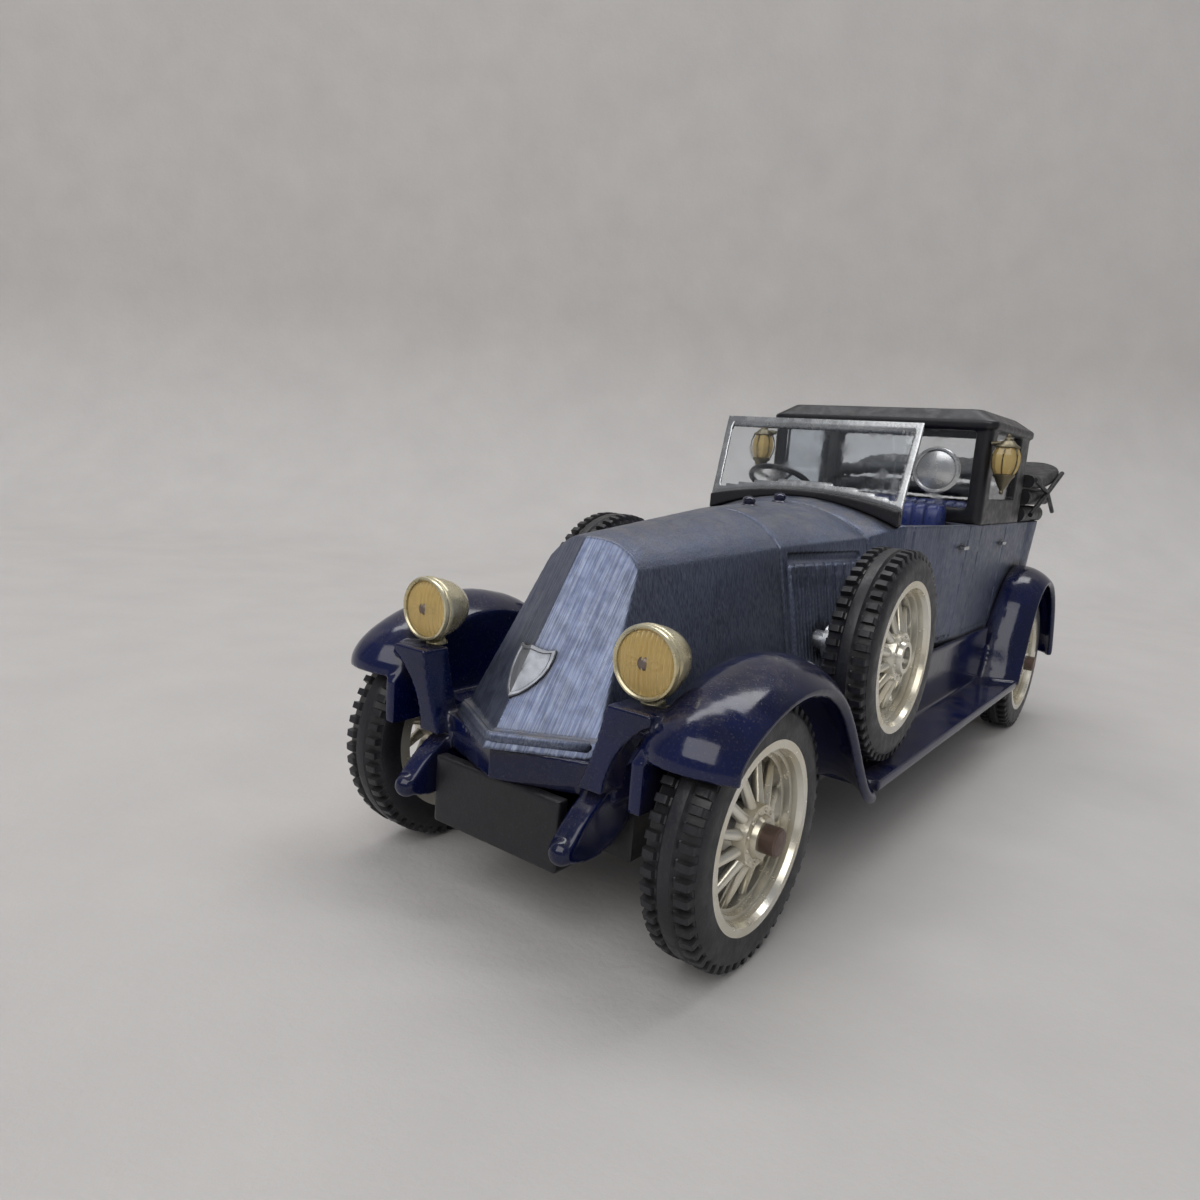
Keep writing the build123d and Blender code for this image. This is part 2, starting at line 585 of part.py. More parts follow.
# ---------------------------------------------------------------- roof and folded hood
with BuildPart() as roof:
    # walls down to the belt, then the roof panel with its eave
    mid_y = (ROOF_FRONT_Y + ROOF_REAR_Y) / 2
    length = ROOF_REAR_Y - ROOF_FRONT_Y
    with BuildSketch(Plane.XY.offset(BELT_Z)):
        with Locations((0, mid_y)):
            RectangleRounded(2 * ROOF_WALL_HALF, length - 0.6, 1.0)
    extrude(amount=ROOF_EAVE_Z - BELT_Z)
    with BuildSketch(Plane.XY.offset(ROOF_EAVE_Z - 0.9)):
        with Locations((0, mid_y)):
            RectangleRounded(2 * ROOF_HALF, length, 1.4)
    extrude(amount=0.9)
    with BuildSketch(Plane.XY.offset(ROOF_EAVE_Z)):
        with Locations((0, mid_y)):
            RectangleRounded(2 * ROOF_HALF, length, 1.4)
    with BuildSketch(Plane.XY.offset(ROOF_TOP_Z)):
        with Locations((0, mid_y)):
            RectangleRounded(2 * ROOF_HALF - 5, length - 3, 1.4)
    loft()
    # inside, division window, side windows and the open rear
    box_between((-13.7, 15.2, BELT_Z - 1), (13.7, 36.0, ROOF_EAVE_Z), Mode.SUBTRACT)
    box_between((-OPENING_HALF, 10.0, DIVISION_SILL_Z), (OPENING_HALF, 20.0, WINDOW_HEAD_Z), Mode.SUBTRACT)
    box_between((-20.0, WINDOW_FRONT_Y, WINDOW_SILL_Z), (20.0, WINDOW_REAR_Y, WINDOW_HEAD_Z), Mode.SUBTRACT)
    box_between((-OPENING_HALF, 30.0, BELT_Z - 1), (OPENING_HALF, 40.0, WINDOW_HEAD_Z), Mode.SUBTRACT)
save(roof, "roof")

with BuildPart() as division_glass:
    box_between((-OPENING_HALF, 14.5, DIVISION_SILL_Z), (OPENING_HALF, 14.9, WINDOW_HEAD_Z))
save(division_glass, "division_glass")

with BuildPart() as side_windows:
    for side in (1, -1):
        inner, outer = sorted((side * 14.1, side * 14.5))
        box_between((inner, WINDOW_FRONT_Y, WINDOW_SILL_Z), (outer, WINDOW_REAR_Y, WINDOW_HEAD_Z))
save(side_windows, "side_windows")


def hood_layer(low_z, high_z, rear_y, half):
    """One U-shaped fold of the lowered hood."""
    with BuildPart() as piece:
        with BuildSketch(Plane.XY.offset(low_z)):
            with BuildLine():
                Polyline((half, HOOD_FRONT_Y), (half, rear_y - 5))
                ThreePointArc((half, rear_y - 5), (half - 1.5, rear_y - 1.5), (half - 5, rear_y))
                Line((half - 5, rear_y), (-half + 5, rear_y))
                ThreePointArc((-half + 5, rear_y), (-half + 1.5, rear_y - 1.5), (-half, rear_y - 5))
                Line((-half, rear_y - 5), (-half, HOOD_FRONT_Y))
                inside = half - 3
                Polyline((-half, HOOD_FRONT_Y), (-inside, HOOD_FRONT_Y), (-inside, HOOD_INSIDE_Y))
                Polyline((-inside, HOOD_INSIDE_Y), (inside, HOOD_INSIDE_Y), (inside, HOOD_FRONT_Y))
                Line((inside, HOOD_FRONT_Y), (half, HOOD_FRONT_Y))
            make_face()
        extrude(amount=high_z - low_z)
    return piece.part


with BuildPart() as folded_hood:
    for fold in HOOD_FOLDS:
        add(hood_layer(*fold))
    # raised end of the top bow
    with BuildSketch(Plane.YZ.offset(-HOOD_HALF)):
        with BuildLine():
            bow = [(52.0, 38.6), (HOOD_TIP_Y - 0.4, 41.0), (HOOD_TIP_Y, 42.0), (50.0, 39.6)]
            Polyline(*bow, close=True)
        make_face()
    extrude(amount=2 * HOOD_HALF)
save(folded_hood, "folded_hood")

# ---------------------------------------------------------------- cabin
with BuildPart() as cabin_floor:
    box_between((-11.2, TUB_FRONT_Y + WALL + 0.1, BODY_BASE_Z), (11.2, 52.0, BODY_BASE_Z + 1.0))
    add(body_shell.part, mode=Mode.SUBTRACT)
save(cabin_floor, "cabin_floor")
FLOOR_Z = BODY_BASE_Z + 1.0

for name, bench in (("front_seat", FRONT_SEAT), ("rear_seat", REAR_SEAT)):
    half, cushion_y, back_y, rear_y, back_z = bench
    with BuildPart() as seat:
        box_between((-half, cushion_y, FLOOR_Z), (half, rear_y, CUSHION_TOP_Z))
        box_between((-half, back_y, CUSHION_TOP_Z), (half, rear_y, back_z))
        fillet(seat.edges().filter_by(Axis.X).sort_by(Axis.Z)[-4:], 0.8)
    save(seat, name)

with BuildPart() as dashboard:
    box_between((-11.0, TUB_FRONT_Y + WALL, 26.0), (11.0, TUB_FRONT_Y + WALL + 0.9, 31.8))
    with Locations(*[(x, TUB_FRONT_Y + WALL + 1.0, 29.4) for x in (-3.0, 0.0, 3.0)]):
        Cylinder(1.1, 0.4, rotation=(90, 0, 0))
save(dashboard, "dashboard")

COLUMN = Vector(*STEERING_CENTRE) - Vector(*COLUMN_FOOT)
WHEEL_PLANE = Plane(origin=STEERING_CENTRE, x_dir=(1, 0, 0), z_dir=COLUMN)

with BuildPart() as steering_column:
    with BuildSketch(Plane(origin=COLUMN_FOOT, x_dir=(1, 0, 0), z_dir=COLUMN)):
        Circle(0.5)
    extrude(amount=COLUMN.length - 0.5)
    add(dashboard.part, mode=Mode.SUBTRACT)
save(steering_column, "steering_column")

with BuildPart() as flat_wheel:
    with BuildSketch(Plane.XZ):
        with Locations((STEERING_R, 0)):
            RegularPolygon(0.36, 12)
    revolve(axis=Axis.Z)
    Cylinder(0.8, 0.8)
    for turn in (45, 135):
        with Locations(Location((0, 0, 0), (0, 0, turn))):
            Box(2 * STEERING_R, 0.5, 0.3)
with BuildPart() as steering_wheel:
    add(flat_wheel.part.moved(WHEEL_PLANE.location))
save(steering_wheel, "steering_wheel")

# ---------------------------------------------------------------- lamps, caps, badge and handles
for side, hand in SIDES:
    with BuildPart() as headlamp_shell:
        with BuildSketch(Plane.XY.offset(LAMP_Z)):
            with BuildLine():
                centre_x = side * LAMP_X
                reach = side * LAMP_R
                Line((centre_x, LAMP_FACE_Y), (centre_x + reach, LAMP_FACE_Y))
                Line((centre_x + reach, LAMP_FACE_Y), (centre_x + reach, LAMP_FACE_Y + 1.1))
                ThreePointArc(
                    (centre_x + reach, LAMP_FACE_Y + 1.1),
                    (centre_x + 0.78 * reach, LAMP_FACE_Y + 3.2),
                    (centre_x, LAMP_FACE_Y + 4.6),
                )
                Line((centre_x, LAMP_FACE_Y + 4.6), (centre_x, LAMP_FACE_Y))
            make_face()
        revolve(axis=Axis((centre_x, 0, LAMP_Z), (0, 1, 0)))
        with Locations((centre_x, LAMP_FACE_Y + 1.6, 20.95)):
            Cylinder(0.75, 1.3)
        with Locations((centre_x, LAMP_FACE_Y + 0.5, LAMP_Z)):
            Cylinder(LAMP_LENS_R, 1.4, rotation=(90, 0, 0), mode=Mode.SUBTRACT)
    save(headlamp_shell, f"headlamp_shell_{hand}")
    with BuildPart() as headlamp_lens:
        with Locations((centre_x, LAMP_FACE_Y + 0.3, LAMP_Z)):
            Cylinder(LAMP_LENS_R, 1.8, rotation=(90, 0, 0))
        fillet(headlamp_lens.edges().filter_by(GeomType.CIRCLE).sort_by(Axis.Y)[0], 0.4)
    save(headlamp_lens, f"headlamp_lens_{hand}")

with BuildPart() as spotlight_shell:
    x, y, z = SPOT_CENTRE
    with Locations(SPOT_CENTRE):
        Sphere(SPOT_R)
    # arm to the screen pillar
    with Locations(((x + SCREEN_TOP_HALF) / 2 - 0.9, y + 0.5, z)):
        Cylinder(0.4, 2.6, rotation=(0, 90, 0))
    box_between((x - 4, y - 4, z - 4), (x + 4, y - 0.6, z + 4), Mode.SUBTRACT)
    with Locations((x, y - 0.1, z)):
        Cylinder(SPOT_R - 0.45, 1.2, rotation=(90, 0, 0), mode=Mode.SUBTRACT)
    add(windscreen_frame.part, mode=Mode.SUBTRACT)
save(spotlight_shell, "spotlight_shell")

with BuildPart() as spotlight_lens:
    with Locations((x, y - 0.1, z)):
        Cylinder(SPOT_R - 0.45, 1.2, rotation=(90, 0, 0))
    fillet(spotlight_lens.edges().filter_by(GeomType.CIRCLE).sort_by(Axis.Y)[0], 0.4)
save(spotlight_lens, "spotlight_lens")


def lathe(side, points):
    """Solid turned about the coach lamp's upright axis from (radius, z) points."""
    with BuildPart() as piece:
        with BuildSketch(Plane.XZ):
            with BuildLine():
                Polyline(*points, close=True)
            make_face()
        revolve(axis=Axis.Z)
    return piece.part.moved(Location((side * COACH_X, COACH_Y, 0)))


for side, hand in SIDES:
    with BuildPart() as coach_lamp:
        for turned in (LANTERN_TOP, LANTERN_FOOT, LANTERN_CORE):
            add(lathe(side, turned))
        # bracket to the roof pillar
        inner, outer = sorted((side * ROOF_WALL_HALF, side * (COACH_X - 0.3)))
        box_between((inner, COACH_Y - 0.35, 42.1), (outer, COACH_Y + 0.35, 42.7))
        add(roof.part, mode=Mode.SUBTRACT)
    save(coach_lamp, f"coach_lamp_{hand}")
    with BuildPart() as coach_lamp_lens:
        add(lathe(side, LANTERN_GLASS))
    save(coach_lamp_lens, f"coach_lamp_lens_{hand}")

for name, cap_y, foot_z in (("radiator_cap", -20.5, 32.8), ("filler_cap", -13.2, 33.2)):
    with BuildPart() as cap:
        with Locations((0, cap_y, foot_z + 0.6)):
            Cylinder(0.75, 1.4)
        fillet(cap.edges().filter_by(GeomType.CIRCLE).sort_by(Axis.Z)[-1], 0.5)
        add(BONNET_SOLID, mode=Mode.SUBTRACT)
    save(cap, name)

with BuildPart() as nose_shield:
    with BuildSketch(Plane(origin=(0, -55.1, 20.4), x_dir=(1, 0, 0), z_dir=(0, -0.8386, 0.5451))):
        with BuildLine():
            Polyline((0, -2.3), (1.3, -1.0), (1.75, 0.4), (1.75, 1.9), (-1.75, 1.9))
            Polyline((-1.75, 1.9), (-1.75, 0.4), (-1.3, -1.0), (0, -2.3))
        make_face()
    extrude(amount=3, both=True)
    add(BONNET_RAISED_SKIN, mode=Mode.INTERSECT)
save(nose_shield, "nose_shield")

with BuildPart() as door_handles:
    for side in (1, -1):
        for handle_y, handle_x in ((9.6, 14.55), (28.2, 14.85)):
            with Locations((side * (handle_x + 0.35), handle_y, 29.2)):
                Box(0.5, 2.2, 0.4)
            with Locations((side * handle_x, handle_y - 0.8, 29.2)):
                Box(0.8, 0.4, 0.4)
    add(TUB_SOLID, mode=Mode.SUBTRACT)
save(door_handles, "door_handles")
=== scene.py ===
import json
import math

import bmesh
import bpy
from mathutils import Matrix, Vector


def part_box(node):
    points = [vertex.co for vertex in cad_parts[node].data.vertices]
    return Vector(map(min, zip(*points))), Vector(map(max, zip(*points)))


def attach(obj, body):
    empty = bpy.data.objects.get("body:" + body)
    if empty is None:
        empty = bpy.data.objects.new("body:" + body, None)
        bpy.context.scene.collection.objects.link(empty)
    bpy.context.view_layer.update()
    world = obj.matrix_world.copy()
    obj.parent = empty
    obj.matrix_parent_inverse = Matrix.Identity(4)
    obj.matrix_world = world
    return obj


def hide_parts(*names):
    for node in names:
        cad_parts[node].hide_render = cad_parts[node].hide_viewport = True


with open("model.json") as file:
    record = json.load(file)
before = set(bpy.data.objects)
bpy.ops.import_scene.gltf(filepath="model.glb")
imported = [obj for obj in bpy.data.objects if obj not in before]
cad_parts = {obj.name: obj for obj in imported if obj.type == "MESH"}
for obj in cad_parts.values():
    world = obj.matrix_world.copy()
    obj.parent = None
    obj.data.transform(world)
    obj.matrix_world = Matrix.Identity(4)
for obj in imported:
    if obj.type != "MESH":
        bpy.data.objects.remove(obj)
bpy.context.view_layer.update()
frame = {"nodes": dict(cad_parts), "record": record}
MM = 0.001
BODIES = frame["record"]["behaviour"]["bodies"]
BODY_OF = {node: body for body, nodes in BODIES.items() for node in nodes}
SIDES = ((1, "left"), (-1, "right"))

# the folded nose: the direction that its facets face, and the foot of its middle ridge, in millimetres
NOSE_ACROSS, NOSE_AHEAD, NOSE_UP = 66.3, 114.7, 74.6
NOSE_FOOT_Y, NOSE_FOOT_Z = -58.85, 14.6
NOSE_SLOPE = math.atan(NOSE_UP / NOSE_AHEAD)


# ------------------------------------------------------------------ materials
def tone(red, green, blue):
    """Linear colour from everyday 0-255 values."""
    linear = []
    for value in (red, green, blue):
        share = value / 255
        linear.append(share / 12.92 if share <= 0.04045 else ((share + 0.055) / 1.055) ** 2.4)
    return (*linear, 1)


class Finish:
    """One procedural finish, built node by node."""

    def __init__(self, name):
        self.material = bpy.data.materials.new(name)
        self.material.use_nodes = True
        self.tree = self.material.node_tree
        self.shader = self.tree.nodes["Principled BSDF"]
        self.place = self.tree.nodes.new("ShaderNodeTexCoord").outputs["Object"]

    def join(self, source, target):
        self.tree.links.new(source, target)

    def noise(self, scale, detail=4, stretch=(1, 1, 1), offset=0, roughness=0.55, lean=0.0):
        """Mottling, drawn out by stretch after the space is leaned about the X axis."""
        tilt = self.tree.nodes.new("ShaderNodeMapping")
        tilt.inputs["Rotation"].default_value = (lean, 0, 0)
        mapping = self.tree.nodes.new("ShaderNodeMapping")
        mapping.inputs["Scale"].default_value = stretch
        mapping.inputs["Location"].default_value = (offset, offset * 0.7, offset * 1.3)
        node = self.tree.nodes.new("ShaderNodeTexNoise")
        node.inputs["Scale"].default_value = scale
        node.inputs["Detail"].default_value = detail
        node.inputs["Roughness"].default_value = roughness
        self.join(self.place, tilt.inputs["Vector"])
        self.join(tilt.outputs["Vector"], mapping.inputs["Vector"])
        self.join(mapping.outputs["Vector"], node.inputs["Vector"])
        return node.outputs["Fac"]

    def ramp(self, source, low, high, start=0.0, end=1.0):
        """Smooth step from start to end while the source goes from low to high."""
        node = self.tree.nodes.new("ShaderNodeMapRange")
        node.interpolation_type = "SMOOTHSTEP"
        node.inputs["From Min"].default_value = low
        node.inputs["From Max"].default_value = high
        node.inputs["To Min"].default_value = start
        node.inputs["To Max"].default_value = end
        self.join(source, node.inputs["Value"])
        return node.outputs["Result"]

    def math(self, operation, first, second):
        node = self.tree.nodes.new("ShaderNodeMath")
        node.operation = operation
        node.use_clamp = True
        for slot, value in zip(node.inputs, (first, second)):
            if isinstance(value, (int, float)):
                slot.default_value = value
            else:
                self.join(value, slot)
        return node.outputs["Value"]

    def mix(self, factor, first, second):
        node = self.tree.nodes.new("ShaderNodeMix")
        node.data_type = "RGBA"
        for slot, value in ((node.inputs[0], factor), (node.inputs[6], first), (node.inputs[7], second)):
            if isinstance(value, (int, float, tuple)):
                slot.default_value = value
            else:
                self.join(value, slot)
        return node.outputs[2]

    def facing(self, axis, low, high):
        """How far a surface faces along one axis, as a smooth step."""
        split = self.tree.nodes.new("ShaderNodeSeparateXYZ")
        normal = self.tree.nodes.new("ShaderNodeNewGeometry").outputs["Normal"]
        self.join(normal, split.inputs["Vector"])
        return self.ramp(split.outputs[axis], low, high)

    def crevices(self, reach):
        """One in corners narrower than the reach, in millimetres, and nought in the open: the
        ambient-occlusion mask for painted shade.
        """
        node = self.tree.nodes.new("ShaderNodeAmbientOcclusion")
        node.samples = 6
        node.inputs["Distance"].default_value = reach * MM
        return self.ramp(node.outputs["AO"], 0.55, 0.95, 1.0, 0.0)

    def bump(self, height, depth):
        """Relief of a depth in millimetres."""
        node = self.tree.nodes.new("ShaderNodeBump")
        node.inputs["Distance"].default_value = depth * MM
        node.inputs["Strength"].default_value = 1.0
        self.join(height, node.inputs["Height"])
        self.join(node.outputs["Normal"], self.shader.inputs["Normal"])

    def set(self, **values):
        """Sets or links shader inputs, named with underscores for spaces."""
        for name, value in values.items():
            socket = self.shader.inputs[name.replace("_", " ")]
            if isinstance(value, (int, float, tuple)):
                socket.default_value = value
            else:
                self.join(value, socket)
        return self


DUST = tone(134, 128, 118)
# near-black grey painted into corners and recesses as shade
CREVICE_SHADE_COLOUR = tone(44, 42, 42)


def dusty(name, colour, rough, metallic=0.0, dust=0.4, crevice_shade=0.35, grain=0.02, grain_scale=2600,
          second=None, streaks=None):
    """Painted or moulded finish: mottled colour, dust on top faces, painted shade darkening the crevices,
    fine grain.

    The streaks of a brushed finish are (scale, stretch, strength, colour).
    """
    finish = Finish(name)
    mottle = finish.ramp(finish.noise(160, 5), 0.35, 0.65)
    second = second or tuple(c * 0.72 for c in colour[:3]) + (1,)
    base = finish.mix(mottle, colour, second)
    if streaks:
        scale, stretch, strength, bright = streaks
        # brushing runs down the sides, and down the slope on the nose
        sides = finish.ramp(finish.noise(scale, 3, stretch, 2.0), 0.3, 0.7)
        slope = finish.ramp(finish.noise(scale, 3, stretch, 2.0, lean=NOSE_SLOPE), 0.3, 0.7)
        nose = finish.facing("Y", -0.35, -0.6)
        lines = finish.math("ADD", finish.math("MULTIPLY", slope, nose),
                            finish.math("MULTIPLY", sides, finish.math("SUBTRACT", 1.0, nose)))
        base = finish.mix(finish.math("MULTIPLY", lines, strength), base, bright)
    patches = finish.ramp(finish.noise(420, 8, offset=3.0, roughness=0.7), 0.38, 0.68)
    specks = finish.ramp(finish.noise(5200, 2, offset=5.0), 0.57, 0.7)
    top = finish.math("MULTIPLY", finish.facing("Z", 0.5, 1.0), finish.math("ADD", patches, specks))
    # painted shade: corners found by ambient occlusion are darkened towards the near-black grey
    crevice_shade_mask = finish.math("MULTIPLY", finish.crevices(1.6), crevice_shade)
    settled = finish.math("MULTIPLY", top, dust)
    dirt = finish.math("ADD", settled, finish.math("MULTIPLY", specks, dust * 0.35))
    finish.set(Base_Color=finish.mix(crevice_shade_mask, finish.mix(dirt, base, DUST), CREVICE_SHADE_COLOUR))
    finish.set(Metallic=finish.ramp(dirt, 0.0, 1.0, metallic, metallic * 0.2))
    scuffs = finish.ramp(finish.noise(900, 6, offset=9.0), 0.3, 0.7, rough * 0.8, rough * 1.25)
    finish.set(Roughness=finish.math("ADD", scuffs, finish.math("MULTIPLY", dirt, 0.4)))
    if streaks:
        grain_height = finish.math("ADD", finish.math("MULTIPLY", lines, 0.7),
                                   finish.math("MULTIPLY", finish.noise(grain_scale, 3), 0.3))
        finish.bump(grain_height, grain)
    else:
        finish.bump(finish.noise(grain_scale, 3), grain)
    return finish.material


def clear(name, colour, rough, transmission, haze=0.25, ripple=0.01):
    """Clear or tinted moulding with a little haze and dust."""
    finish = Finish(name)
    film = finish.ramp(finish.noise(350, 6, offset=4.0), 0.45, 0.75)
    finish.set(Base_Color=finish.mix(finish.math("MULTIPLY", film, haze), colour, DUST))
    finish.set(Roughness=finish.ramp(film, 0.0, 1.0, rough, rough + 0.18))
    finish.set(Transmission_Weight=transmission, IOR=1.46)
    finish.bump(finish.noise(700, 2), ripple)
    return finish.material


FINISHES = {
    "body_paint": dusty("body_paint", tone(86, 95, 122), 0.38, 0.8, 0.5, 0.75, 0.014,
                        second=tone(78, 85, 108),
                        streaks=(8000, (1, 1, 0.03), 0.45, tone(150, 158, 172))),
    "fender_paint": dusty("fender_paint", tone(3, 15, 62), 0.12, 0.0, 0.16, 0.5, 0.003,
                          second=tone(2, 11, 48)),
    "black_plastic": dusty("black_plastic", tone(18, 19, 27), 0.36, 0.0, 0.1, 0.3, 0.02),
    "hood_plastic": dusty("hood_plastic", tone(17, 18, 25), 0.46, 0.0, 0.12, 0.3, 0.05, 1500),
    "seat_plastic": dusty("seat_plastic", tone(44, 58, 118), 0.3, 0.0, 0.15, 0.5, 0.02),
    "dark_trim": dusty("dark_trim", tone(40, 40, 46), 0.42, 0.3, 0.2, 0.4, 0.02),
    "plated_trim": dusty("plated_trim", tone(196, 198, 200), 0.24, 0.9, 0.1, 0.35, 0.008,
                         second=tone(170, 172, 174)),
    "plated_gold": dusty("plated_gold", tone(222, 214, 184), 0.26, 0.7, 0.1, 0.3, 0.008,
                         second=tone(206, 192, 150)),
    "plated_rim": dusty("plated_rim", tone(236, 233, 222), 0.22, 0.68, 0.08, 0.45, 0.01,
                        second=tone(224, 216, 194)),
    "rivet_metal": dusty("rivet_metal", tone(150, 150, 150), 0.35, 1.0, 0.1, 0.3, 0.02),
    "axle_steel": dusty("axle_steel", tone(134, 126, 122), 0.45, 0.7, 0.2, 0.3, 0.04, 1800,
                        second=tone(112, 92, 84)),
    "tyre": dusty("tyre", tone(22, 23, 29), 0.4, 0.0, 0.14, 0.5, 0.03, 1800, second=tone(30, 31, 38)),
    "clear_plastic": clear("clear_plastic", tone(240, 244, 248), 0.03, 1.0, 0.1),
    "amber_lens": clear("amber_lens", tone(236, 208, 140), 0.06, 0.45, 0.08, 0.001),
    "badge": dusty("badge", tone(150, 153, 160), 0.42, 0.7, 0.15, 0.6, 0.01),
    "lantern_metal": dusty("lantern_metal", tone(128, 120, 98), 0.36, 0.75, 0.12, 0.5, 0.01),
}

# the first word or words that fit a node's name give its slot
SLOT_WORDS = (
    ("tyre", "tyre"), ("rim", "plated_rim"), ("axle", "axle_steel"), ("headlamp_shell", "plated_gold"),
    ("headlamp_lens", "amber_lens"), ("coach_lamp_lens", "amber_lens"), ("coach_lamp", "plated_trim"),
    ("spotlight", "plated_trim"), ("windscreen_frame", "plated_trim"), ("nose_shield", "plated_trim"),
    ("door_handles", "plated_trim"), ("spare_stud", "plated_trim"), ("_cap", "plated_trim"),
    ("_glass", "clear_plastic"), ("side_windows", "clear_plastic"), ("body_shell", "body_paint"),
    ("fender_chassis", "fender_paint"), ("base_plate", "black_plastic"), ("roof", "black_plastic"),
    ("base_rivets", "rivet_metal"), ("folded_hood", "hood_plastic"), ("_seat", "seat_plastic"),
    ("", "dark_trim"),
)
SLOT_OF = {node: next(slot for word, slot in SLOT_WORDS if word in node) for node in frame["nodes"]}
for node, slot in SLOT_OF.items():
    mesh = frame["nodes"][node].data
    mesh.materials.clear()
    mesh.materials.append(FINISHES[slot])


# ------------------------------------------------------------------ mesh helpers
def middle(node):
    """Middle of a CAD node's box, in millimetres."""
    low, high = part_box(node)
    return (low + high) / 2 / MM


def piece(name, node, verts, faces, replace=True, finish=None, sharp=38):
    """A new mesh, in millimetres, that rides on the body of a CAD node and can stand for it."""
    mesh = bpy.data.meshes.new(name)
    mesh.from_pydata([tuple(c * MM for c in v) for v in verts], [], faces)
    work = bmesh.new()
    work.from_mesh(mesh)
    bmesh.ops.remove_doubles(work, verts=work.verts, dist=1e-7)
    bmesh.ops.recalc_face_normals(work, faces=work.faces)
    work.to_mesh(mesh)
    work.free()
    return place(name, node, mesh, replace, finish, sharp)


def place(name, node, mesh, replace=True, finish=None, sharp=38):
    """Puts a finished mesh in the scene on the right body."""
    finish = finish or SLOT_OF[node]
    mesh.shade_smooth()
    mesh.set_sharp_from_angle(angle=math.radians(sharp))
    mesh.materials.clear()
    mesh.materials.append(FINISHES[finish])
    obj = bpy.data.objects.new(name, mesh)
    bpy.context.scene.collection.objects.link(obj)
    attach(obj, BODY_OF[node])
    if replace:
        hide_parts(node)
    return obj


def skin(rings, around=True, along=False, caps=True):
    """Vertices and faces through equal rings: closed around, and closed or capped along."""
    count = len(rings[0])
    verts = [v for ring in rings for v in ring]
    faces = []
    for r in range(len(rings) if along else len(rings) - 1):
        for c in range(count if around else count - 1):
            low, high = r * count, (r + 1) % len(rings) * count
            nxt = (c + 1) % count
            faces.append((low + c, low + nxt, high + nxt, high + c))
    if caps and not along:
        faces.append(tuple(range(count - 1, -1, -1)))
        faces.append(tuple(range((len(rings) - 1) * count, len(rings) * count)))
    return verts, faces


def turned(profile, origin, axis, segments):
    """Surface turned about an axis from (radius, distance along axis) points."""
    turn = Vector(axis).to_track_quat("Z", "Y").to_matrix()
    rings = []
    for radius, height in profile:
        reach = max(radius, 1e-4)
        ring = []
        for k in range(segments):
            angle = 2 * math.pi * k / segments
            local = Vector((reach * math.cos(angle), reach * math.sin(angle), height))
            ring.append(tuple(Vector(origin) + turn @ local))
        rings.append(ring)
    return skin(rings)


def tube(points, radius, sides):
    """Round bar through a row of points."""
    rings = []
    for index, point in enumerate(points):
        before = Vector(points[max(index - 1, 0)])
        after = Vector(points[min(index + 1, len(points) - 1)])
        turn = (after - before).to_track_quat("Z", "Y").to_matrix()
        ring = []
        for k in range(sides):
            angle = 2 * math.pi * k / sides
            local = Vector((radius * math.cos(angle), radius * math.sin(angle), 0))
            ring.append(tuple(Vector(point) + turn @ local))
        rings.append(ring)
    return skin(rings)


def joined(*parts):
    """Several vertex and face lists as one."""
    verts, faces = [], []
    for more_verts, more_faces in parts:
        start = len(verts)
        verts += more_verts
        faces += [tuple(i + start for i in face) for face in more_faces]
    return verts, faces


def softened(name, node, voxel, rounds, keep=1.0):
    """Cast or moulded copy of a CAD node with every edge rounded. The voxel is in millimetres."""
    mesh = frame["nodes"][node].data.copy()
    work = bmesh.new()
    work.from_mesh(mesh)
    bmesh.ops.remove_doubles(work, verts=work.verts, dist=2e-6)
    work.to_mesh(mesh)
    work.free()
    draft = bpy.data.objects.new("draft", mesh)
    bpy.context.scene.collection.objects.link(draft)
    remesh = draft.modifiers.new("even", "REMESH")
    remesh.mode = "VOXEL"
    remesh.voxel_size = voxel * MM
    smooth = draft.modifiers.new("soft", "SMOOTH")
    smooth.factor = 0.5
    smooth.iterations = rounds
    if keep < 1:
        fewer = draft.modifiers.new("fewer", "DECIMATE")
        fewer.ratio = keep
    graph = bpy.context.evaluated_depsgraph_get()
    result = bpy.data.meshes.new_from_object(draft.evaluated_get(graph))
    bpy.data.objects.remove(draft)
    return place(name, node, result, sharp=60)


# ------------------------------------------------------------------ castings and mouldings
softened("body_casting", "body_shell", 0.15, 2, 0.3)
softened("fender_casting", "fender_chassis", 0.2, 4, 0.5)
softened("base_moulding", "base_plate", 0.25, 2, 0.4)
softened("roof_moulding", "roof", 0.2, 3, 0.4)
softened("screen_frame", "windscreen_frame", 0.11, 3)
softened("screen_gasket", "windscreen_gasket", 0.14, 2)

# ------------------------------------------------------------------ tyres
TEETH = 50
TREAD_HALF = 2.21
# the section from the outer wall in: distance in from its face, radius, drop of the gaps between teeth
TREAD = [
    (0.0, 7.43, 0), (-0.04, 7.9, 0), (-0.05, 8.6, 0), (0.0, 9.1, 0), (0.12, 9.4, 0.0), (0.14, 9.45, 0.0),
    (0.2, 9.55, 0.1), (0.28, 10.12, 0.55), (0.4, 10.22, 0.6), (1.1, 10.3, 0.6), (1.3, 10.28, 0.45),
    (1.42, 10.0, 0.1), (1.55, 9.98, 0.0), (1.75, 10.2, 0), (TREAD_HALF, 10.26, 0),
]
TREAD += [(2 * TREAD_HALF - inwards, radius, drop) for inwards, radius, drop in reversed(TREAD[:-1])]
# one tooth and the gap after it: share of the pitch, and 1 where the section drops into the gap
TOOTH = ((0.0, 1), (0.07, 0), (0.5, 0), (0.57, 1), (0.8, 1))


